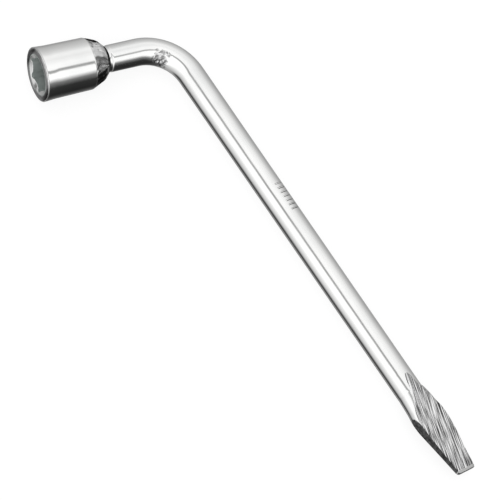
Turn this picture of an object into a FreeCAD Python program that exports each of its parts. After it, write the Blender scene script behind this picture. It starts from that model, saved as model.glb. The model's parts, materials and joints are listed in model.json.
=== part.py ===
import FreeCAD, Part
import math
import os

from FreeCAD import Rotation, Vector

# L-shaped lug wrench: a bent round bar with a forged pry tip and a hexagon socket welded to its
# short arm.  Lengths are millimetres and angles are degrees.  The wrench is first drawn flat: the
# bend corner (where the two bar axes would meet) is the origin, the arm runs to -X, the handle
# runs TURN_ANGLE below +X and +Z is up.  At the end the pieces are laid on the table together,
# tilted the way the wrench comes to rest.

# The bar
BAR_RADIUS = 8.0
BEND_RADIUS = 28.5             # centreline of the bend
TURN_ANGLE = 75.0              # angle the bar is turned through
ARM_LENGTH = 83.5              # corner to socket mouth
HANDLE_LENGTH = 304.0          # corner to pry tip
SPIGOT_RADIUS = 7.6            # turned-down end of the bar that enters the socket
SPIGOT_START = 28.2            # from the mouth to the end of the spigot
SPIGOT_CHAMFER = 0.8
SHOULDER_START = 45.0          # from the mouth to the slope up to full bar size
SHOULDER_LENGTH = 0.4

# The forged pry tip, measured back from its end edge
BLADE_TWIST = 10.0             # the blade is turned about the handle, outer side down
FORGING_SECTIONS = [           # (from the end, centre offset outward, half width, half thickness)
    (55.5, 0.35, 8.3, 8.1),
    (45.0, 0.9, 9.7, 8.1),
    (36.0, 1.1, 10.9, 8.1),
    (26.0, 0.9, 10.4, 8.0),
    (13.0, 0.7, 8.5, 7.0),
    (0.0, 0.5, 7.2, 6.0),
]
GROUND_RUN_IN = [              # (from the end, half thickness) where the ground faces fade out
    (66.0, 8.2),
    (54.0, 7.2),
    (47.0, 5.6),
    (40.0, 4.1),
    (33.0, 3.4),
]
END_HALF_THICKNESS = 1.4
END_BEVEL_LENGTH = 1.5         # small bevel on the upper edge of the end
END_BEVEL_DROP = 1.0
TRIM_START = (37.0, 9.2)       # (from the end, inward) where the inner side is trimmed flat
TRIM_END = (0.0, 4.4)
END_CORNER = 1.8               # how far the rounded inner corner of the end edge reaches

# Plain raised strokes on the handle, where the size mark is struck
STROKE_COUNT = 7
STROKE_START = 104.0           # from the corner
STROKE_PITCH = 2.9
STROKE_WIDTH = 1.0
STROKE_HEIGHT = 0.35
STROKE_TURN = 2.0              # from straight up to the near end of a stroke, leaning outward
STROKE_SWEEP = 44.0

# The hexagon socket, measured back from its mouth
HEX_ACROSS_FLATS = 19.2
HEX_DEPTH = 22.0
HEX_TURN = 21.0                # from straight up to a corner, leaning to the handle side
RELIEF_RADIUS = 2.1            # round relief in each hexagon corner
RELIEF_OFFSET = 9.2            # socket axis to the relief's centre
LEAD_IN_RADIUS = 12.2          # countersink at the mouth
LEAD_IN_ANGLE = 60.0           # between the countersink and the axis
STUD_RADIUS = 7.25             # clearance hole behind the hexagon for the end of a stud
SEAT_START = 28.0              # from the mouth to the step the bar seats against
SEAT_RADIUS = 7.65             # counterbore from behind that takes the spigot
RIM_RADIUS = 16.2
RIM_LENGTH = 3.0
RIM_ROUND = 0.8
BODY_FRONT = (4.0, 15.7)       # (from the mouth, radius)
BODY_REAR = (31.0, 15.3)
SOCKET_REAR = (36.5, 12.2)

# The weld bead between socket and bar: (from the mouth, radius)
BEAD_FRONT = (34.4, 13.4)
BEAD_CREST = (37.4, 12.3)
BEAD_SHOULDER = (40.4, 10.5)
BEAD_REAR_CREST = (42.4, 9.0)
BEAD_TOE = (43.6, 7.6)
RIPPLE_COUNT = 17
RIPPLE_CENTRE = (38.3, 8.9)
RIPPLE_RADIUS = 3.4
RIPPLE_VARIATION = 0.15
RIPPLE_PHASE = 2.3             # radians of the size variation from one lump to the next

FULL_TURN = 360.0
LEAN_STEPS = 20                # rounds in which the resting lean settles
ORIGIN = Vector(0, 0, 0)
UP = Vector(0, 0, 1)
ARM_AXIS = Vector(1, 0, 0)     # from the mouth towards the corner
HANDLE_TURN = Rotation(UP, -TURN_ANGLE)
HANDLE_AXIS = HANDLE_TURN.multVec(Vector(1, 0, 0))
OUTWARD = HANDLE_TURN.multVec(Vector(0, 1, 0))
MOUTH = Vector(-ARM_LENGTH, 0, 0)
TANGENT_LENGTH = BEND_RADIUS * math.tan(math.radians(TURN_ANGLE / 2))
BLADE_START = HANDLE_LENGTH - GROUND_RUN_IN[0][0]


def at_mouth(place):
    """Point of an outline in the XZ plane, from (distance behind the mouth, radius)."""
    return MOUTH + Vector(place[0], 0, place[1])


def line(start, end):
    return Part.makeLine(start, end)


def arc(start, middle, end):
    return Part.Arc(start, middle, end).toShape()


def revolved(edges):
    """Solid of revolution about the arm from a closed outline of edges."""
    return Part.Face(Part.Wire(edges)).revolve(ORIGIN, ARM_AXIS, FULL_TURN)


# ---------------------------------------------------------------- hex socket

def hexagon_offset(radius, number):
    """Point on the mouth plane in the direction of a numbered hexagon corner."""
    angle = math.radians(HEX_TURN + 60 * number)
    return MOUTH + Vector(0, -math.sin(angle), math.cos(angle)) * radius


def hexagon_hole():
    """Hexagon prism with a round relief along every corner."""
    corner_radius = HEX_ACROSS_FLATS / math.sqrt(3)
    corners = [hexagon_offset(corner_radius, number) for number in range(7)]
    prism = Part.Face(Part.makePolygon(corners)).extrude(ARM_AXIS * HEX_DEPTH)
    reliefs = [
        Part.makeCylinder(RELIEF_RADIUS, HEX_DEPTH, hexagon_offset(RELIEF_OFFSET, number), ARM_AXIS)
        for number in range(6)
    ]
    return prism.multiFuse(reliefs)


def socket_blank():
    """Turned outside of the socket: raised rim, slightly tapered body, chamfered rear."""
    face_edge = at_mouth((0, RIM_RADIUS - RIM_ROUND))
    rim_edge = at_mouth((RIM_ROUND, RIM_RADIUS))
    round_inset = RIM_ROUND * (1 - math.sqrt(0.5))
    round_middle = at_mouth((round_inset, RIM_RADIUS - round_inset))
    corners = [
        rim_edge,
        at_mouth((RIM_LENGTH, RIM_RADIUS)),
        at_mouth(BODY_FRONT),
        at_mouth(BODY_REAR),
        at_mouth(SOCKET_REAR),
        at_mouth((SOCKET_REAR[0], 0)),
        MOUTH,
        face_edge,
    ]
    edges = [line(start, end) for start, end in zip(corners, corners[1:])]
    edges.append(arc(face_edge, round_middle, rim_edge))
    return revolved(edges)


def make_hex_socket():
    stud_hole = Part.makeCylinder(STUD_RADIUS, SEAT_START, MOUTH, ARM_AXIS)
    seat_length = SOCKET_REAR[0] - SEAT_START
    seat = Part.makeCylinder(SEAT_RADIUS, seat_length, at_mouth((SEAT_START, 0)), ARM_AXIS)
    lead_in_depth = LEAD_IN_RADIUS / math.tan(math.radians(LEAD_IN_ANGLE))
    lead_in = Part.makeCone(LEAD_IN_RADIUS, 0, lead_in_depth, MOUTH, ARM_AXIS)
    return socket_blank().cut([hexagon_hole(), stud_hole, seat, lead_in])


# ---------------------------------------------------------------- handle bar

def to_handle(shape):
    """Move a shape drawn along +X (outer side +Y) onto the handle."""
    return shape.rotated(ORIGIN, UP, -TURN_ANGLE)


def from_end(distance):
    """Distance from the corner, given the distance back from the end of the tip."""
    return HANDLE_LENGTH - distance


def spigot_and_arm():
    """Turned end, its shoulder and the straight part of the arm."""
    outline = [
        at_mouth((SPIGOT_START, 0)),
        at_mouth((SPIGOT_START, SPIGOT_RADIUS - SPIGOT_CHAMFER)),
        at_mouth((SPIGOT_START + SPIGOT_CHAMFER, SPIGOT_RADIUS)),
        at_mouth((SHOULDER_START, SPIGOT_RADIUS)),
        at_mouth((SHOULDER_START + SHOULDER_LENGTH, BAR_RADIUS)),
        Vector(-TANGENT_LENGTH, 0, BAR_RADIUS),
        Vector(-TANGENT_LENGTH, 0, 0),
        at_mouth((SPIGOT_START, 0)),
    ]
    return revolved([line(start, end) for start, end in zip(outline, outline[1:])])


def bend():
    """Part of a ring that joins the arm to the handle."""
    centre = Vector(-TANGENT_LENGTH, -BEND_RADIUS, 0)
    section = Part.Circle(Vector(-TANGENT_LENGTH, 0, 0), ARM_AXIS, BAR_RADIUS).toShape()
    return Part.Face(Part.Wire(section)).revolve(centre, UP, -TURN_ANGLE)


def forging_section(distance, offset, half_width, half_thickness):
    """Elliptical cross-section of the forging, square to the handle."""
    centre = Vector(from_end(distance), offset, 0)
    side = centre + Vector(0, half_width, 0)
    ellipse = Part.Ellipse(side, centre + UP * half_thickness, centre)
    return Part.Wire(ellipse.toShape())


def ground_wedge():
    """Block between the two ground faces, wide enough to cover the whole blade."""
    half_block = 2 * BAR_RADIUS

    def at_end(distance, height):
        return Vector(from_end(distance), -half_block, height)

    last_distance, last_half = GROUND_RUN_IN[-1]
    slope = (last_half - END_HALF_THICKNESS) / last_distance
    bevel_height = END_HALF_THICKNESS + slope * END_BEVEL_LENGTH
    corners = [
        at_end(last_distance, last_half),
        at_end(END_BEVEL_LENGTH, bevel_height),
        at_end(0, END_HALF_THICKNESS - END_BEVEL_DROP),
        at_end(0, -END_HALF_THICKNESS),
        at_end(last_distance, -last_half),
    ]
    edges = [line(start, end) for start, end in zip(corners, corners[1:])]
    for side in (1, -1):
        run_in = Part.BSplineCurve()
        run_in.interpolate([at_end(distance, side * half) for distance, half in GROUND_RUN_IN])
        edges.append(run_in.toShape())
    first_distance, first_half = GROUND_RUN_IN[0]
    edges.append(line(at_end(first_distance, first_half), at_end(first_distance, -first_half)))
    outline = Part.Wire(Part.__sortEdges__(edges))
    return Part.Face(outline).extrude(Vector(0, 2 * half_block, 0))


def inner_trim():
    """Block that takes the inner side of the blade off flat and rounds its end corner."""
    slope = (TRIM_START[1] - TRIM_END[1]) / (TRIM_START[0] - TRIM_END[0])
    far = 2 * BAR_RADIUS
    reach = (far - TRIM_END[1]) / slope
    corner = Vector(HANDLE_LENGTH, -TRIM_END[1], -far)
    on_side = corner + Vector(-END_CORNER, -slope * END_CORNER, 0)
    on_end = corner + Vector(0, END_CORNER, 0)
    middle = corner + (on_side - corner + on_end - corner) * (1 - math.sqrt(0.5))
    outer_start = Vector(from_end(reach), -far, -far)
    outer_end = Vector(HANDLE_LENGTH, -far, -far)
    outline = Part.Wire([
        line(outer_start, on_side),
        arc(on_side, middle, on_end),
        line(on_end, outer_end),
        line(outer_end, outer_start),
    ])
    return Part.Face(outline).extrude(UP * 2 * far)


def straight_bar(start, end):
    """Length of plain bar between two distances from the corner."""
    return Part.makeCylinder(BAR_RADIUS, end - start, Vector(start, 0, 0), ARM_AXIS)


def pry_blade():
    """Forged end of the handle, ground to a wedge and trimmed along its inner side."""
    forging = Part.makeLoft([forging_section(*section) for section in FORGING_SECTIONS], True)
    forging_start = from_end(FORGING_SECTIONS[0][0])
    bar_end = straight_bar(BLADE_START, forging_start + BAR_RADIUS)
    blade = bar_end.fuse(forging).common(ground_wedge()).cut(inner_trim())
    return blade.rotated(ORIGIN, ARM_AXIS, -BLADE_TWIST)


def size_strokes():
    """Row of short raised strokes across the handle's upper outer side.

    Each is first made from straight up towards the inner side, then turned to the outer side.
    """
    strokes = []
    for number in range(STROKE_COUNT):
        start = Vector(STROKE_START + number * STROKE_PITCH, 0, 0)
        stroke = Part.makeCylinder(
            BAR_RADIUS + STROKE_HEIGHT, STROKE_WIDTH, start, ARM_AXIS, STROKE_SWEEP)
        strokes.append(stroke.rotated(ORIGIN, ARM_AXIS, -STROKE_SWEEP - STROKE_TURN))
    return strokes


def make_handle_bar():
    handle = [straight_bar(TANGENT_LENGTH, BLADE_START), pry_blade()] + size_strokes()
    return spigot_and_arm().multiFuse([bend()] + [to_handle(shape) for shape in handle])


# ----------------------------------------------------------------- weld bead

def weld_ripple(number):
    """One rounded lump of the bead; the lumps differ a little in size, as a hand weld does."""
    angle = FULL_TURN / RIPPLE_COUNT * number
    radius = RIPPLE_RADIUS + RIPPLE_VARIATION * math.sin(RIPPLE_PHASE * number)
    lump = Part.makeSphere(radius, at_mouth(RIPPLE_CENTRE), Vector(0, 1, 0))
    return lump.rotated(ORIGIN, ARM_AXIS, angle)


def make_weld_bead(socket_outside, bar):
    """Fillet weld round the rear of the socket, shaped to the socket and the bar it joins."""
    front, shoulder, toe = at_mouth(BEAD_FRONT), at_mouth(BEAD_SHOULDER), at_mouth(BEAD_TOE)
    ring = revolved([
        arc(front, at_mouth(BEAD_CREST), shoulder),
        arc(shoulder, at_mouth(BEAD_REAR_CREST), toe),
        line(toe, at_mouth((BEAD_TOE[0], 0))),
        line(at_mouth((BEAD_TOE[0], 0)), at_mouth((BEAD_FRONT[0], 0))),
        line(at_mouth((BEAD_FRONT[0], 0)), front),
    ])
    ripples = [weld_ripple(number) for number in range(RIPPLE_COUNT)]
    return ring.multiFuse(ripples).cut([socket_outside, bar])


# ------------------------------------------------------------------- at rest

def resting_turn():
    """Rotation that lays the wrench on its handle and on the lower rear edge of the socket."""
    edge_radius = BODY_REAR[1]
    edge_centre = MOUTH + ARM_AXIS * BODY_REAR[0]
    lean = 0.0
    for step in range(LEAN_STEPS):
        down = OUTWARD * lean - UP * math.sqrt(1 - lean ** 2)
        across = math.sqrt(1 - down.dot(ARM_AXIS) ** 2)
        lean = (edge_radius * across - BAR_RADIUS) / -edge_centre.dot(OUTWARD)
    return Rotation(down, -UP)


def laid_on_table(pieces):
    """Turn the pieces together and bring the middle of their footprint to the origin."""
    turn = FreeCAD.Placement(ORIGIN, resting_turn())
    turned = {name: shape.transformed(turn.toMatrix()) for name, shape in pieces.items()}
    box = Part.makeCompound(list(turned.values())).optimalBoundingBox(False)
    shift = -Vector(box.Center.x, box.Center.y, box.ZMin)
    return {name: shape.translated(shift) for name, shape in turned.items()}


handle_bar = make_handle_bar()
pieces = {
    "handle_bar": handle_bar,
    "hex_socket": make_hex_socket(),
    "weld_bead": make_weld_bead(socket_blank(), handle_bar),
}
os.makedirs("parts", exist_ok=True)
for name, shape in laid_on_table(pieces).items():
    shape.exportStep("parts/" + name + ".step")
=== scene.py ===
import json
import math

import bpy
import numpy as np
from mathutils import Matrix, Vector, noise


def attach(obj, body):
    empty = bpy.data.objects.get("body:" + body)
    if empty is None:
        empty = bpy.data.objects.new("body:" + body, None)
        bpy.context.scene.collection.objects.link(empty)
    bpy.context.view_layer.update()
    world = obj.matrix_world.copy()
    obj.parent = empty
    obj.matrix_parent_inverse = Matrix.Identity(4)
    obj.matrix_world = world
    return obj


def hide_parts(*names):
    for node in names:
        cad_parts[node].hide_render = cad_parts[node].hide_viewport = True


# Looks of the L-shaped lug wrench.  The driving dimensions are millimetres and degrees; every mesh
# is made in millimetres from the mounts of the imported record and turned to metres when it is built.

MM = 0.001

# The bar, measured along it from the socket mouth unless noted
BAR_RADIUS = 8.0
BEND_RADIUS = 28.5
TURN_ANGLE = 75.0
ARM_LENGTH = 83.5               # mouth to the corner where the two bar axes meet
HANDLE_LENGTH = 304.0           # corner to the end of the pry tip
SPIGOT_START = 28.2
SPIGOT_RADIUS = 7.6
SHOULDER_START = 44.2
SHOULDER_LENGTH = 0.4
SPIGOT_OUTLINE = [              # (from the mouth, radius) of the turned-down end
    (SPIGOT_START, 0.5),
    (SPIGOT_START, SPIGOT_RADIUS - 1.0),
    (SPIGOT_START + 0.1, SPIGOT_RADIUS - 0.8),
    (SPIGOT_START + 0.8, SPIGOT_RADIUS),
    (SHOULDER_START - 0.6, SPIGOT_RADIUS),
    (SHOULDER_START, SPIGOT_RADIUS),
    (SHOULDER_START + 0.15, SPIGOT_RADIUS + 0.12),
]
BAR_WAVE = 0.012                # slight unevenness that makes the reflections wander
SHORT_WAVE = 5.3                # along the bar, for each radian of the two waves
LONG_WAVE = 8.1

# The wrinkled inside of the bend
CREASE_CENTRE = 77.0            # along the bar
CREASE_SIDE = 140.0             # round the bar, from the outer side over the top
CREASE_LENGTH = 7.5
CREASE_SPREAD = 50.0
CREASE_DEPTH = 0.4
COARSE_CREASES = (0.55, 3.5, 4.0)   # (creases for each mm, for each radian round the bar, seed)
FINE_CREASES = (1.3, 9.0, 9.0)
FINE_SHARE = 0.6                # depth of the fine creases against the coarse ones
PATCH_RADIUS = 4.6              # of the mottled plating over the creases
PATCH_WAVINESS = 2.0            # how quickly the patch's edge wanders

# The size strokes, measured from the corner
STROKE_COUNT = 7
STROKE_START = 104.0
STROKE_PITCH = 2.9
STROKE_WIDTH = 1.0
STROKE_HEIGHT = 0.35
STROKE_FIRST = 44.0             # round the bar, from the outer side over the top
STROKE_LAST = 88.0
STROKE_FLANK = 0.3              # length of the slope up to a stroke's top
STROKE_FADE = 4.0               # degrees in which a stroke's end runs out
FLANK_STEEPNESS = 0.45          # slope along the bar above which a flank is painted dark as shade
STROKE_MARGIN = 1.0             # bar before the first stroke that is meshed as finely as the strokes

# The pry blade, measured back from its end
BLADE_LENGTH = 66.0
BLADE_TWIST = 10.0
TWIST_RUN_IN = 20.0             # length of round bar in which the section lines turn to the blade
FORGING = [                     # (from the end, centre offset, half width, half thickness)
    (0.0, 0.5, 7.2, 6.0),
    (13.0, 0.7, 8.5, 7.0),
    (26.0, 0.9, 10.4, 8.0),
    (36.0, 1.1, 10.9, 8.1),
    (45.0, 0.9, 9.7, 8.1),
    (55.0, 0.35, 8.3, 8.08),
    (56.2, 0.0, 8.0, 8.0),
    (400.0, 0.0, 8.0, 8.0),
]
GROUND = [                      # (from the end, half thickness) of the ground faces
    (0.0, 1.4),
    (33.0, 3.4),
    (40.0, 4.1),
    (47.0, 5.6),
    (54.0, 7.2),
    (66.0, 8.2),
    (80.0, 11.0),
]
TRIM_END = 4.4                  # inner side of the blade at its end
TRIM_SLOPE = 4.8 / 37.0
END_CORNER = 1.8
ARRIS = 0.3                     # softness of the blade's long edges
END_ROUND = 0.2
END_BEVEL_LENGTH = 1.5          # small bevel on the upper edge of the end
END_BEVEL_DROP = 1.0
TRIM_SKIN = 0.3                 # depth over which a face still counts as trimmed or ground
GROUND_SKIN = 0.25
STREAK_FREQUENCY = (2800, 75, 75)   # of the grinding streaks, for each metre along each axis

# The socket, measured from its mouth
HEX_ACROSS_FLATS = 19.2
HEX_DEPTH = 22.0
HEX_TURN = 21.0
RELIEF_RADIUS = 2.1
RELIEF_OFFSET = 9.2
LEAD_IN_RADIUS = 12.2
LEAD_IN_ANGLE = 60.0
LOBES_END = 1.8                 # depth at which the countersink has run out on every flat
STUD_RADIUS = 7.25              # clearance for the wheel stud behind the hexagon
SEAT_START = 28.0               # the counterbore that takes the bar's spigot
SEAT_RADIUS = 7.65
INNER_EDGE = 0.1                # softness of the edges inside
RIM_RADIUS = 16.15
LEAD_IN_SKIN = 0.15             # depth over which a face still counts as countersink
FACE_EDGE = 0.25                # depth to which the mouth's flat ring reaches round its edges
SOCKET_OUTSIDE = [              # (from the mouth, radius, rounding of that edge)
    (0.2, LEAD_IN_RADIUS, 0.0),
    (0.0, 13.0, 0.6),
    (0.0, 15.2, 0.9),
    (0.6, RIM_RADIUS, 0.4),
    (1.6, 16.12, 0.8),
    (7.0, 15.7, 1.5),
    (31.0, 15.3, 0.4),
    (36.5, 12.2, 0.3),
    (36.5, 7.65, 0.0),
]

# The weld bead
BEAD_OUTSIDE = [                # (from the mouth, radius)
    (31.5, 15.0),
    (33.6, 14.0),
    (36.0, 12.9),
    (38.4, 11.8),
    (40.2, 10.3),
    (41.7, 8.9),
    (43.0, 7.55),
]
RIPPLE_COUNT = 17
RIPPLE_HEIGHT = 0.55
RIPPLE_LEVEL = 0.5              # share of a ripple's height that lies below the bead's outline
RIPPLE_DRIFT = 0.12             # radians by which the ripples turn from one row to the next
RIPPLE_UNEVENNESS = 1.6         # radians by which the ripples stray
LUMP_HEIGHT = 0.35              # of the slow lumps under the ripples
LUMPS_ROUND = 2.2               # how quickly the lumps change round the bead
LUMPS_ALONG = 0.35              # and from one row of its outline to the next
EDGE_FADE = 0.6                 # how abruptly the ripples fade at the bead's two edges
BEAD_ROOT = 7.2                 # radius to which the bead reaches inside the neck
BEAD_RINGS = 48
PAINTED_SHADE_FROM = 41.0               # from the mouth to the rear edge that is painted black as shade
PAINTED_SHADE_OUTSIDE = 7.0             # how far out on the outer side the painted shade starts at the neck
PAINTED_SHADE_SLOPE = 0.12              # how much further out it starts for each mm towards the mouth
PAINTED_SHADE_WAVINESS = 0.6            # how quickly its edge wanders
PAINTED_BAND_WANDER = 0.28              # how far the painted reflection bands wander, as a share of the bead's width

# Mesh fineness
SECTION_POINTS = 144
OUTLINE_POINTS = 720
TURNED_POINTS = 240

# The camera and what the plating mirrors
VIEW_AZIMUTH = -38.5
VIEW_ELEVATION = 69.0
VIEW_ROLL = 20.88
VIEW_DISTANCE = 6000.0
VIEW_WIDTH = 288.24             # width of what the camera sees at the wrench
SENSOR_WIDTH = 36.0
CLIP_END = 20.0                 # metres
CORNER_IN_VIEW = (-45.92, 118.33)   # the corner's place right of and above the middle of the view
FLOOR_HALF = 6.0                # metres
FLOOR_GLOW = 0.84
LIGHT_STRENGTH = 1.2

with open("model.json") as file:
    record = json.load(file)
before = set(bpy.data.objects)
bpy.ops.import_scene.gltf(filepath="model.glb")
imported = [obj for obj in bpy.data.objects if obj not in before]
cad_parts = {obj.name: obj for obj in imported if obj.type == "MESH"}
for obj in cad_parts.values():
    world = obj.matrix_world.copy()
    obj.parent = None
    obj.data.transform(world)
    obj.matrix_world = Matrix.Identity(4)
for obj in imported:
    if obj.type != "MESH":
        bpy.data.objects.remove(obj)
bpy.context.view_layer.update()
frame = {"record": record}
mounts = {mount["name"]: mount for mount in frame["record"]["mounts"]}


def unit(vector):
    """The same direction with length 1."""
    return vector / np.linalg.norm(vector)


mouth = np.array(mounts["nut_socket"]["pos_m"]) / MM
arm = -unit(np.array(mounts["nut_socket"]["axis"]))
handle = unit(np.array(mounts["pry_tip"]["axis"]))
upward = unit(np.cross(handle, arm))
arm_side = np.cross(upward, arm)
handle_side = np.cross(upward, handle)
corner = mouth + arm * ARM_LENGTH

TANGENT_LENGTH = BEND_RADIUS * math.tan(math.radians(TURN_ANGLE / 2))
ARM_END = ARM_LENGTH - TANGENT_LENGTH
BEND_END = ARM_END + BEND_RADIUS * math.radians(TURN_ANGLE)
BAR_END = BEND_END + HANDLE_LENGTH - TANGENT_LENGTH
STROKES_AT = BAR_END - HANDLE_LENGTH + STROKE_START
BLADE_START = BAR_END - BLADE_LENGTH


# ------------------------------------------------------------------ shaping

def smooth_step(value, low, high):
    """0 below low, 1 above high and a soft slope between."""
    share = np.clip((value - low) / (high - low), 0, 1)
    return share * share * (3 - 2 * share)


def soft_min(first, second, softness):
    """The smaller of two values, with the corner between them rounded."""
    return (first + second - np.sqrt((first - second) ** 2 + softness ** 2)) / 2


def smooth_table(table, place):
    """Row of a table at a place between its rows, on a smooth curve that does not overshoot."""
    rows = np.array(table)
    at, values = rows[:, 0], rows[:, 1:]
    slopes = np.diff(values, axis=0) / np.diff(at)[:, None]
    product = slopes[:-1] * slopes[1:]
    total = slopes[:-1] + slopes[1:]
    inner = np.where(product > 0, 2 * product / np.where(total == 0, 1, total), 0)
    tangents = np.vstack([slopes[:1], inner, slopes[-1:]])
    row = int(np.clip(np.searchsorted(at, place) - 1, 0, len(at) - 2))
    width = at[row + 1] - at[row]
    t = (place - at[row]) / width
    start = values[row] + tangents[row] * width * t
    end = values[row + 1] - tangents[row + 1] * width * (1 - t)
    blend = t * t * (3 - 2 * t)
    return start * (1 - blend) + end * blend


def spaced(start, end, step):
    """Evenly spaced places from start up to, but without, end."""
    return list(np.linspace(start, end, max(1, round(abs(end - start) / step)), endpoint=False))


def make_piece(name, rings, node, materials, close_start=False, close_end=False, joined=False):
    """Mesh through rings of points in millimetres, riding on the frame in place of a CAD node."""
    count = len(rings[0])
    points = np.concatenate(rings) * MM
    faces = []
    last = len(rings) if joined else len(rings) - 1
    for ring in range(last):
        base = ring * count
        above = (ring + 1) % len(rings) * count
        for number in range(count):
            after = (number + 1) % count
            faces.append((base + number, base + after, above + after, above + number))
    if close_start:
        faces.append(tuple(reversed(range(count))))
    if close_end:
        faces.append(tuple(range(len(points) - count, len(points))))
    mesh = bpy.data.meshes.new(name)
    mesh.from_pydata(points.tolist(), [], faces)
    mesh.shade_smooth()
    for material in materials:
        mesh.materials.append(material)
    piece = bpy.data.objects.new(name, mesh)
    bpy.context.scene.collection.objects.link(piece)
    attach(piece, "root")
    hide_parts(node)
    return piece


def paint(piece, face, material):
    """Give one face another of its piece's materials."""
    face.material_index = piece.data.materials.find(material.name)


# ---------------------------------------------------------------- materials

def add_node(tree, kind, **settings):
    """New node of a kind, with the settings that aren't inputs."""
    node = tree.nodes.new(kind)
    for name, value in settings.items():
        setattr(node, name, value)
    return node


def new_material(name, roughness=0.5, metallic=1.0):
    """Material, its node tree and its shader, for the detail to be laid over."""
    material = bpy.data.materials.new(name)
    material.use_nodes = True
    shader = material.node_tree.nodes["Principled BSDF"]
    shader.inputs["Metallic"].default_value = metallic
    shader.inputs["Roughness"].default_value = roughness
    return material, material.node_tree, shader


def noise_at(tree, scale, detail, stretch=(1, 1, 1)):
    """Noise over the piece's own coordinates; stretch makes it run in streaks."""
    coordinates = add_node(tree, "ShaderNodeTexCoord")
    mapping = add_node(tree, "ShaderNodeMapping")
    mapping.inputs["Scale"].default_value = stretch
    texture = add_node(tree, "ShaderNodeTexNoise")
    texture.inputs["Scale"].default_value = scale
    texture.inputs["Detail"].default_value = detail
    tree.links.new(coordinates.outputs["Object"], mapping.inputs["Vector"])
    tree.links.new(mapping.outputs["Vector"], texture.inputs["Vector"])
    return texture.outputs["Fac"]


def share_across(tree, reach):
    """0 at the inner side and 1 at the outer side of a ring of this radius about the arm."""
    middle = mouth @ arm_side
    coordinates = add_node(tree, "ShaderNodeTexCoord")
    along = add_node(tree, "ShaderNodeVectorMath", operation="DOT_PRODUCT")
    along.inputs[1].default_value = arm_side
    share = add_node(tree, "ShaderNodeMapRange")
    share.inputs["From Min"].default_value = (middle - reach) * MM
    share.inputs["From Max"].default_value = (middle + reach) * MM
    tree.links.new(coordinates.outputs["Object"], along.inputs[0])
    tree.links.new(along.outputs["Value"], share.inputs["Value"])
    return share.outputs["Result"]


def times(tree, first, second):
    """One colour multiplied by another."""
    node = add_node(tree, "ShaderNodeMix", data_type="RGBA", blend_type="MULTIPLY")
    node.inputs["Factor"].default_value = 1.0
    tree.links.new(first, node.inputs["A"])
    tree.links.new(second, node.inputs["B"])
    return node.outputs["Result"]


def ramp(tree, value, stops):
    """Colour ramp over a value; stops are (position, grey or colour)."""
    node = add_node(tree, "ShaderNodeValToRGB")
    elements = node.color_ramp.elements
    while len(elements) < len(stops):
        elements.new(0.5)
    for element, (position, colour) in zip(elements, stops):
        element.position = position
        element.color = (*colour, 1) if isinstance(colour, tuple) else (colour, colour, colour, 1)
    tree.links.new(value, node.inputs["Fac"])
    return node.outputs["Color"]


def add_bump(tree, shader, height, strength, depth):
    """Fine unevenness of a surface, from a height that is worth depth millimetres."""
    bump = add_node(tree, "ShaderNodeBump")
    bump.inputs["Strength"].default_value = strength
    bump.inputs["Distance"].default_value = depth * MM
    tree.links.new(height, bump.inputs["Height"])
    tree.links.new(bump.outputs["Normal"], shader.inputs["Normal"])


def add_orange_peel(tree, shader):
    """The faintly dimpled surface of plating."""
    add_bump(tree, shader, noise_at(tree, scale=700, detail=2), strength=0.12, depth=0.02)


def plated_chrome(name):
    """Bright chrome plate with faint cloudy patches and a fine orange-peel surface."""
    material, tree, shader = new_material(name)
    cloud = noise_at(tree, scale=60, detail=4)
    tree.links.new(ramp(tree, cloud, [(0.35, 0.07), (0.7, 0.16)]), shader.inputs["Roughness"])
    patches = noise_at(tree, scale=35, detail=5)
    tint = ramp(tree, patches, [(0.3, (0.80, 0.805, 0.80)), (0.6, (0.88, 0.88, 0.872))])
    tree.links.new(tint, shader.inputs["Base Color"])
    add_orange_peel(tree, shader)
    return material


def wrinkled_chrome(name):
    """Chrome over the creases inside the bend, dull and mottled."""
    material, tree, shader = new_material(name, roughness=0.3)
    mottle = noise_at(tree, scale=700, detail=3)
    tree.links.new(ramp(tree, mottle, [(0.4, 0.25), (0.6, 0.75)]), shader.inputs["Base Color"])
    add_bump(tree, shader, mottle, strength=0.4, depth=0.2)
    return material


def ground_steel(name):
    """Steel as it comes from a coarse grinding belt, with streaks at a slant along the blade."""
    material, tree, shader = new_material(name, roughness=0.38)
    streaks = noise_at(tree, scale=1.0, detail=3, stretch=STREAK_FREQUENCY)
    tint = ramp(tree, streaks, [(0.4, 0.05), (0.5, 0.42), (0.6, 1.0)])
    tree.links.new(tint, shader.inputs["Base Color"])
    add_bump(tree, shader, streaks, strength=0.2, depth=0.05)
    return material


def painted_shade_rough_steel(name):
    """Rough steel with a grainy bump, its colour near black as painted shade, for the trimmed side of the
    blade and the feet of the size strokes.
    """
    material, tree, shader = new_material(name, roughness=0.5)
    grain = noise_at(tree, scale=500, detail=6)
    # Painted shade: base colour near black.
    tree.links.new(ramp(tree, grain, [(0.3, 0.03), (0.7, 0.2)]), shader.inputs["Base Color"])
    add_bump(tree, shader, grain, strength=0.6, depth=0.25)
    return material


def reflection_painted_face(name):
    """Plating of the mouth's flat ring, darkened towards its outermost and innermost sides as painted dark
    reflection, with a faint cloudy tone.
    """
    material, tree, shader = new_material(name, roughness=0.15)
    side = share_across(tree, RIM_RADIUS)
    # Painted dark reflections: near black towards the ring's innermost and outermost sides.
    painted_dark_sides = ramp(tree, side, [(0.06, 0.02), (0.14, 1.0), (0.8, 1.0), (0.87, 0.05), (0.95, 0.4)])
    cloud = ramp(tree, noise_at(tree, scale=300, detail=4), [(0.35, 0.75), (0.6, 1.0)])
    tree.links.new(times(tree, painted_dark_sides, cloud), shader.inputs["Base Color"])
    add_orange_peel(tree, shader)
    return material


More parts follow.
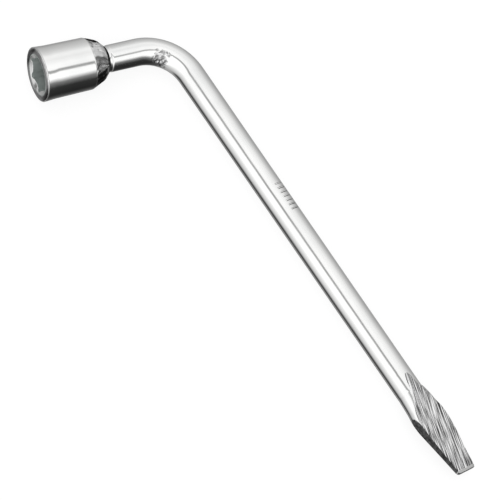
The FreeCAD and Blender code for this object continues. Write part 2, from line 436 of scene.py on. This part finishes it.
def socket_steel(name):
    """Dull grey-green bare steel inside the socket."""
    material, tree, shader = new_material(name, roughness=0.6, metallic=0.0)
    patches = noise_at(tree, scale=220, detail=5)
    tint = ramp(tree, patches, [(0.3, (0.24, 0.27, 0.26)), (0.7, (0.34, 0.375, 0.36))])
    tree.links.new(tint, shader.inputs["Base Color"])
    add_bump(tree, shader, patches, strength=0.2, depth=0.05)
    return material


def painted_shade_weld(name):
    """Painted shade at the edges of the weld: near black and matt, with a crusty bump."""
    material, tree, shader = new_material(name, roughness=0.9, metallic=0.0)
    shader.inputs["Specular IOR Level"].default_value = 0.0
    crust = noise_at(tree, scale=420, detail=5)
    # Painted shade: base colour near black.
    tree.links.new(ramp(tree, crust, [(0.4, 0.005), (0.7, 0.06)]), shader.inputs["Base Color"])
    add_bump(tree, shader, crust, strength=0.6, depth=0.25)
    return material


def plated_weld(name):
    """Plated weld metal with painted reflections: bright on the outer side, dark bands towards the inner
    side, over real pits.
    """
    material, tree, shader = new_material(name)
    side = share_across(tree, BEAD_OUTSIDE[0][1])
    wandering = add_node(tree, "ShaderNodeMath", operation="MULTIPLY_ADD")
    wandering.inputs[1].default_value = PAINTED_BAND_WANDER
    tree.links.new(noise_at(tree, scale=150, detail=3), wandering.inputs[0])
    tree.links.new(side, wandering.inputs[2])
    # Painted reflections: light and dark bands across the bead, darkest on its inner side.
    painted_reflection_bands = ramp(
        tree, wandering.outputs["Value"],
        [(0.22, 0.04), (0.3, 0.2), (0.39, 0.5), (0.47, 0.25), (0.53, 0.16), (0.58, 0.75), (0.84, 0.95)])
    pits = ramp(tree, noise_at(tree, scale=190, detail=3), [(0.4, 0.25), (0.5, 1.0)])
    crust = noise_at(tree, scale=260, detail=6)
    tree.links.new(times(tree, painted_reflection_bands, pits), shader.inputs["Base Color"])
    tree.links.new(ramp(tree, crust, [(0.35, 0.3), (0.65, 0.12)]), shader.inputs["Roughness"])
    add_bump(tree, shader, crust, strength=0.3, depth=0.15)
    return material


chrome = plated_chrome("bar_chrome")
socket_chrome = plated_chrome("socket_chrome")
wrinkled = wrinkled_chrome("wrinkled_chrome")
ground = ground_steel("ground_steel")
painted_shade_steel = painted_shade_rough_steel("painted_shade_rough_steel")
bare = socket_steel("socket_steel")
painted_reflection_ring = reflection_painted_face("reflection_painted_face")
weld = plated_weld("weld_chrome")
painted_weld_shade = painted_shade_weld("weld_painted_shade")


# --------------------------------------------------------------- handle bar

ROUND = np.linspace(0, 2 * math.pi, OUTLINE_POINTS, endpoint=False)


def bar_frame(distance):
    """Centre of the bar and its sideways direction, at a distance along it from the mouth."""
    if distance <= ARM_END:
        return mouth + arm * distance, arm_side
    if distance < BEND_END:
        turn = (distance - ARM_END) / BEND_RADIUS
        side = arm_side * math.cos(turn) + arm * math.sin(turn)
        centre = mouth + arm * ARM_END - arm_side * BEND_RADIUS
        return centre + side * BEND_RADIUS, side
    return corner + handle * (distance - BAR_END + HANDLE_LENGTH), handle_side


def inner_limit(from_end):
    """How far the trimmed inner side lies from the handle's axis."""
    limit = TRIM_END + TRIM_SLOPE * from_end
    if from_end < END_CORNER:
        limit -= END_CORNER - math.sqrt(END_CORNER ** 2 - (END_CORNER - from_end) ** 2)
    return limit


def blade_outline(from_end, inset):
    """Across and height values of the section: a forged oval, ground on two faces and trimmed."""
    offset, half_width, half_thickness = smooth_table(FORGING, from_end)
    ground_half = smooth_table(GROUND, min(from_end, GROUND[-1][0]))[0]
    across = offset + (half_width - inset) * np.cos(ROUND)
    height = (half_thickness - inset) * np.sin(ROUND)
    bevel = END_BEVEL_DROP * max(0.0, 1 - from_end / END_BEVEL_LENGTH)
    limit = np.where(height > 0, ground_half - bevel, ground_half) - inset
    height = np.sign(height) * soft_min(np.abs(height), limit, ARRIS)
    across = -soft_min(-across, inner_limit(from_end) - inset, ARRIS)
    run_in = 1 - float(smooth_step(from_end, BLADE_LENGTH, BLADE_LENGTH + TWIST_RUN_IN))
    twist = math.radians(BLADE_TWIST) * run_in
    turned_across = across * math.cos(twist) + height * math.sin(twist)
    turned_height = height * math.cos(twist) - across * math.sin(twist)
    return turned_across, turned_height


def resampled(across, height):
    """The same outline in fewer points, closer together where it turns sharply."""
    points = np.stack([across, height], 1)
    step = np.roll(points, -1, 0) - points
    length = np.hypot(step[:, 0], step[:, 1])
    heading = np.arctan2(step[:, 1], step[:, 0])
    turn = np.abs((np.roll(heading, -1) - heading + math.pi) % (2 * math.pi) - math.pi)
    share = length / length.sum() + turn / turn.sum()
    place = np.concatenate([[0], np.cumsum(share)])
    wanted = np.linspace(0, place[-1], SECTION_POINTS, endpoint=False)
    closed = np.vstack([points, points[:1]])
    return np.interp(wanted, place, closed[:, 0]), np.interp(wanted, place, closed[:, 1])


def wave_height(distance, angles):
    """Slight unevenness of the whole bar, never above its plain surface."""
    short = np.sin(distance / SHORT_WAVE + 2 * np.sin(angles))
    long = np.sin(distance / LONG_WAVE + 3 * angles)
    return BAR_WAVE * short * long - BAR_WAVE


def stroke_height(distance, degrees):
    """Height of the size strokes."""
    if not 0 <= distance - STROKES_AT < (STROKE_COUNT - 1) * STROKE_PITCH + STROKE_WIDTH:
        return 0
    along = (distance - STROKES_AT) % STROKE_PITCH
    ridge = smooth_step(along, 0, STROKE_FLANK)
    ridge = ridge * (1 - smooth_step(along, STROKE_WIDTH - STROKE_FLANK, STROKE_WIDTH))
    reach = smooth_step(degrees, STROKE_FIRST, STROKE_FIRST + STROKE_FADE)
    reach = reach * (1 - smooth_step(degrees, STROKE_LAST - STROKE_FADE, STROKE_LAST))
    return STROKE_HEIGHT * ridge * reach


def crease_noise(distance, angle, creases):
    """Noise at a point of the bar, for one row of crease settings."""
    along, around, seed = creases
    return noise.noise(Vector((distance * along, angle * around, seed)))


def crease_depth(distance, angles):
    """Depth of the creases on the inside of the bend."""
    near = ((distance - CREASE_CENTRE) / CREASE_LENGTH) ** 2
    if near >= 1:
        return 0
    mask = (1 - near) * np.clip(1 - ((np.degrees(angles) - CREASE_SIDE) / CREASE_SPREAD) ** 2, 0, 1)
    creases = [
        crease_noise(distance, angle, COARSE_CREASES)
        + FINE_SHARE * crease_noise(distance, angle, FINE_CREASES)
        for angle in angles
    ]
    return CREASE_DEPTH * mask * np.clip(0.5 + np.array(creases), 0, 1)


def bar_relief(distance, angles):
    """Height of the surface over the plain bar: strokes, bend creases and slight waves."""
    strokes = stroke_height(distance, np.degrees(angles))
    return wave_height(distance, angles) + strokes - crease_depth(distance, angles)


def bar_ring(distance, radius=None, inset=0.0):
    """One ring of the handle bar's mesh."""
    centre, side = bar_frame(distance)
    if radius is not None:
        angles = np.linspace(0, 2 * math.pi, SECTION_POINTS, endpoint=False)
        across, height = radius * np.cos(angles), radius * np.sin(angles)
    else:
        across, height = resampled(*blade_outline(BAR_END - distance, inset))
        if distance < BLADE_START:
            angles = np.arctan2(height, across) % (2 * math.pi)
            scale = 1 + bar_relief(distance, angles) / BAR_RADIUS
            across, height = across * scale, height * scale
    return centre + np.outer(across, side) + np.outer(height, upward)


def make_handle_bar():
    """The whole bar, from the spigot's end round the bend to the end of the pry tip."""
    rings = [bar_ring(distance, radius) for distance, radius in SPIGOT_OUTLINE]
    strokes_end = STROKES_AT + STROKE_COUNT * STROKE_PITCH
    spans = [                   # (from, to, distance between rings)
        (SHOULDER_START + SHOULDER_LENGTH, ARM_END, 0.8),
        (ARM_END, BEND_END, 0.4),
        (BEND_END, STROKES_AT - STROKE_MARGIN, 1.5),
        (STROKES_AT - STROKE_MARGIN, strokes_end, 0.16),
        (strokes_end, BLADE_START - TWIST_RUN_IN, 2.0),
        (BLADE_START - TWIST_RUN_IN, BLADE_START, 1.0),
        (BLADE_START, BAR_END - END_BEVEL_LENGTH, 0.45),
        (BAR_END - END_BEVEL_LENGTH, BAR_END - END_ROUND, 0.15),
    ]
    for start, end, step in spans:
        rings += [bar_ring(place) for place in spaced(start, end, step)]
    for share in (0.0, 0.35, 0.7, 1.0):
        turn = share * math.pi / 2
        place = BAR_END - END_ROUND * (1 - math.sin(turn))
        rings.append(bar_ring(place, inset=END_ROUND * (1 - math.cos(turn))))
    rings.append(bar_ring(BAR_END, inset=2 * END_ROUND))
    piece = make_piece(
        "lug_wrench_bar", rings, "handle_bar", [chrome, ground, painted_shade_steel, wrinkled],
        close_start=True, close_end=True)
    mark_blade_faces(piece)
    mark_stroke_flanks(piece)
    mark_creases(piece)


def mark_stroke_flanks(piece):
    """Paint the steep flanks at the foot of each raised stroke dark, as painted shade."""
    start = STROKE_START - STROKE_MARGIN
    end = STROKE_START + STROKE_COUNT * STROKE_PITCH
    for face in piece.data.polygons:
        from_corner = (np.array(face.center) / MM - corner) @ handle
        if start < from_corner < end:
            if abs(face.normal @ Vector(handle)) > FLANK_STEEPNESS:
                # Painted shade on the strokes' steep flanks.
                paint(piece, face, painted_shade_steel)


def mark_creases(piece):
    """Give the creased patch inside the bend its mottled plating."""
    middle, side = bar_frame(CREASE_CENTRE)
    turn = math.radians(CREASE_SIDE)
    middle = middle + BAR_RADIUS * (side * math.cos(turn) + upward * math.sin(turn))
    for face in piece.data.polygons:
        away = (np.array(face.center) / MM - middle) / PATCH_RADIUS
        if away @ away < 1 + noise.noise(Vector(away * PATCH_WAVINESS)):
            paint(piece, face, wrinkled)


def mark_blade_faces(piece):
    """Give the ground faces their own metal, and the trimmed side the steel painted dark as shade."""
    twist = math.radians(BLADE_TWIST)
    face_up = upward * math.cos(twist) + handle_side * math.sin(twist)
    face_side = handle_side * math.cos(twist) - upward * math.sin(twist)
    for face in piece.data.polygons:
        centre = np.array(face.center) / MM - corner
        from_end = HANDLE_LENGTH - centre @ handle
        if not END_BEVEL_LENGTH < from_end < BLADE_LENGTH:
            continue
        across = centre @ face_side
        height = abs(centre @ face_up)
        if across < TRIM_SKIN - inner_limit(from_end):
            # The trimmed side is painted dark as shade.
            paint(piece, face, painted_shade_steel)
        elif height > smooth_table(GROUND, from_end)[0] - GROUND_SKIN:
            paint(piece, face, ground)


# --------------------------------------------------------------- hex socket

def turned_ring(distance, radii):
    """Ring about the arm's axis; radii is one value or one for each point."""
    angles = np.linspace(0, 2 * math.pi, TURNED_POINTS, endpoint=False)
    up, side = np.cos(angles) * radii, -np.sin(angles) * radii
    return mouth + arm * distance + np.outer(up, upward) + np.outer(side, arm_side)


def hexagon_radii():
    """Distance from the axis to the wall of the relieved hexagon, for each point of a ring."""
    angles = np.degrees(np.linspace(0, 2 * math.pi, TURNED_POINTS, endpoint=False))
    from_corner = np.radians((angles - HEX_TURN + 30) % 60 - 30)
    flat = HEX_ACROSS_FLATS / 2 / np.cos(math.radians(30) - np.abs(from_corner))
    reach = RELIEF_RADIUS ** 2 - (RELIEF_OFFSET * np.sin(from_corner)) ** 2
    relief = RELIEF_OFFSET * np.cos(from_corner) + np.sqrt(np.maximum(reach, 0))
    return np.where(reach > 0, np.maximum(flat, relief), flat)


def rounded_outline(corners, steps=5):
    """Outline through corners, each (distance, radius, rounding), with its corners rounded."""
    outline = []
    for number, (distance, radius, rounding) in enumerate(corners):
        here = np.array((distance, radius))
        if rounding == 0 or number in (0, len(corners) - 1):
            outline.append(here)
            continue
        before = unit(np.array(corners[number - 1][:2]) - here)
        after = unit(np.array(corners[number + 1][:2]) - here)
        for t in np.linspace(0, 1, steps):
            outline.append(here + before * rounding * (1 - t) ** 2 + after * rounding * t ** 2)
    return outline


def make_hex_socket():
    """The socket in one loop of rings: round its outside, into the counterbore and out of the mouth."""
    hole = hexagon_radii()
    lead_slope = math.tan(math.radians(LEAD_IN_ANGLE))
    rings = [turned_ring(distance, radius) for distance, radius in rounded_outline(SOCKET_OUTSIDE)]
    rings.append(turned_ring(SEAT_START + INNER_EDGE, SEAT_RADIUS))
    rings.append(turned_ring(SEAT_START, SEAT_RADIUS - INNER_EDGE))
    rings.append(turned_ring(SEAT_START, STUD_RADIUS))
    first_inside = len(rings)
    rings.append(turned_ring(HEX_DEPTH + INNER_EDGE, STUD_RADIUS))
    rings.append(turned_ring(HEX_DEPTH, STUD_RADIUS + INNER_EDGE))
    rings.append(turned_ring(HEX_DEPTH, hole - INNER_EDGE))
    depths = spaced(HEX_DEPTH - INNER_EDGE, LOBES_END, 2.0)
    depths += spaced(LOBES_END, INNER_EDGE, 0.1)
    for depth in depths:
        lead_in = LEAD_IN_RADIUS - lead_slope * depth
        rings.append(turned_ring(depth, -soft_min(-hole, -lead_in, INNER_EDGE)))
    piece = make_piece(
        "lug_wrench_socket", rings, "hex_socket", [socket_chrome, bare, painted_reflection_ring],
        joined=True)
    for face in piece.data.polygons:
        centre = np.array(face.center) / MM - mouth
        depth = centre @ arm
        radius = np.linalg.norm(centre - arm * depth)
        on_lead_in = abs(radius - LEAD_IN_RADIUS + lead_slope * depth) < LEAD_IN_SKIN
        if face.index >= first_inside * TURNED_POINTS and not on_lead_in:
            paint(piece, face, bare)
        elif depth < FACE_EDGE and radius > LEAD_IN_RADIUS:
            # The mouth's flat ring gets the plating with painted dark reflections.
            paint(piece, face, painted_reflection_ring)


# ---------------------------------------------------------------- weld bead

def bead_relief(row, last_row, angles):
    """Height of the ripples and lumps over the bead's outline, fading at its two edges."""
    lumps = np.array([
        noise.noise(Vector((math.cos(a) * LUMPS_ROUND, math.sin(a) * LUMPS_ROUND, row * LUMPS_ALONG)))
        for a in angles
    ])
    phase = angles * RIPPLE_COUNT / 2 + RIPPLE_UNEVENNESS * lumps + RIPPLE_DRIFT * row
    ripple = np.sqrt(np.abs(np.sin(phase)))
    window = math.sin(math.pi * row / last_row) ** EDGE_FADE
    return window * (RIPPLE_HEIGHT * (ripple - RIPPLE_LEVEL) + LUMP_HEIGHT * lumps)


def make_weld_bead():
    """The ring of weld metal, lying on the socket's chamfer and the bar's neck."""
    angles = np.linspace(0, 2 * math.pi, TURNED_POINTS, endpoint=False)
    table = [(number, *row) for number, row in enumerate(BEAD_OUTSIDE)]
    last_row = len(table) - 1
    rings = []
    for row in np.linspace(0, last_row, BEAD_RINGS):
        distance, radius = smooth_table(table, row)
        rings.append(turned_ring(distance, radius + bead_relief(row, last_row, angles)))
    rings.append(turned_ring(BEAD_OUTSIDE[-1][0], BEAD_ROOT))
    rings.append(turned_ring(BEAD_OUTSIDE[0][0], BEAD_ROOT))
    piece = make_piece(
        "lug_wrench_weld", rings, "weld_bead", [weld, painted_weld_shade], joined=True)
    for face in piece.data.polygons:
        centre = np.array(face.center) / MM - mouth
        depth = centre @ arm
        outer_side = centre @ arm_side
        edge = PAINTED_SHADE_OUTSIDE + PAINTED_SHADE_SLOPE * (SHOULDER_START - depth)
        edge += noise.noise(Vector(centre * PAINTED_SHADE_WAVINESS))
        # The rear edge and the outermost side of the bead are painted black as shade.
        if depth > PAINTED_SHADE_FROM or outer_side > edge:
            paint(piece, face, painted_weld_shade)


make_handle_bar()
make_hex_socket()
make_weld_bead()


# ------------------------------------------------------------------- studio

def view_axes():
    """Right, up and backward directions of the camera."""
    azimuth, elevation = math.radians(VIEW_AZIMUTH), math.radians(VIEW_ELEVATION)
    backward = Vector((
        math.sin(azimuth) * math.cos(elevation),
        -math.cos(azimuth) * math.cos(elevation),
        math.sin(elevation)))
    level = Vector((math.cos(azimuth), math.sin(azimuth), 0))
    right = Matrix.Rotation(math.radians(VIEW_ROLL), 3, backward) @ level
    return right, backward.cross(right), backward


def add_camera():
    """Camera of the photo's view, with the corner of the wrench in its place."""
    right, up, backward = view_axes()
    data = bpy.data.cameras.new("photo_camera")
    data.sensor_width = SENSOR_WIDTH
    data.lens = SENSOR_WIDTH * VIEW_DISTANCE / VIEW_WIDTH
    data.clip_end = CLIP_END
    camera = bpy.data.objects.new("photo_camera", data)
    bpy.context.scene.collection.objects.link(camera)
    middle = Vector(corner) - right * CORNER_IN_VIEW[0] - up * CORNER_IN_VIEW[1]
    turn = Matrix((right, up, backward)).transposed()
    camera.matrix_world = Matrix.LocRotScale((middle + backward * VIEW_DISTANCE) * MM, turn, None)
    bpy.context.scene.camera = camera


def add_floor():
    """White paper, bright by itself and not mirrored by the plating."""
    mesh = bpy.data.meshes.new("floor")
    corners = [(x * FLOOR_HALF, y * FLOOR_HALF, 0) for x, y in ((-1, -1), (1, -1), (1, 1), (-1, 1))]
    mesh.from_pydata(corners, [], [(0, 1, 2, 3)])
    floor = bpy.data.objects.new("floor", mesh)
    bpy.context.scene.collection.objects.link(floor)
    material = bpy.data.materials.new("floor_paper")
    material.use_nodes = True
    shader = material.node_tree.nodes["Principled BSDF"]
    shader.inputs["Base Color"].default_value = (0.2, 0.2, 0.2, 1)
    shader.inputs["Emission Color"].default_value = (1, 1, 1, 1)
    shader.inputs["Emission Strength"].default_value = FLOOR_GLOW
    shader.inputs["Roughness"].default_value = 0.9
    shader.inputs["Specular IOR Level"].default_value = 0.0
    mesh.materials.append(material)
    floor.visible_glossy = False


def add_world():
    """Light tent: white above, darker below, dark on the side low in the view, with a thin gap."""
    right, up, backward = view_axes()
    world = bpy.data.worlds.new("light_tent")
    bpy.context.scene.world = world
    world.use_nodes = True
    tree = world.node_tree
    background = tree.nodes["Background"]
    coordinates = add_node(tree, "ShaderNodeTexCoord")

    def facing(direction):
        """0 where the tent lies opposite a direction and 1 where it lies in it."""
        dot = add_node(tree, "ShaderNodeVectorMath", operation="DOT_PRODUCT")
        dot.inputs[1].default_value = direction.normalized()
        tree.links.new(coordinates.outputs["Generated"], dot.inputs[0])
        share = add_node(tree, "ShaderNodeMath", operation="MULTIPLY_ADD")
        share.inputs[1].default_value = 0.5
        share.inputs[2].default_value = 0.5
        tree.links.new(dot.outputs["Value"], share.inputs[0])
        return share.outputs["Value"]

    height = ramp(
        tree, facing(backward),
        [(0.0, 0.35), (0.3, 0.5), (0.4, 0.58), (0.5, 0.68), (0.6, 0.86), (0.7, 1.0)])
    low_side = ramp(
        tree, facing(right * 0.5 - up * 0.82 - backward * 0.28),
        [(0.755, 1.0), (0.82, 0.52), (0.872, 0.19), (0.93, 0.11), (0.97, 0.04)])
    inner_side = ramp(
        tree, facing(-right * 0.76 - up * 0.43 - backward * 0.49),
        [(0.72, 1.0), (0.785, 0.85), (0.87, 0.8), (0.935, 0.86), (0.965, 0.75), (0.978, 0.6), (0.992, 0.13)])
    gap = ramp(
        tree, facing(right * 0.143 + up * 0.955 - backward * 0.259),
        [(0.455, 1.0), (0.487, 0.4), (0.538, 0.28), (0.578, 0.93), (0.7, 0.93), (0.86, 0.8), (0.95, 1.0)])
    sides = times(tree, low_side, inner_side)
    tree.links.new(times(tree, times(tree, height, sides), gap), background.inputs["Color"])
    background.inputs["Strength"].default_value = LIGHT_STRENGTH


add_camera()
add_floor()
add_world()
bpy.context.scene.view_settings.view_transform = "Standard"
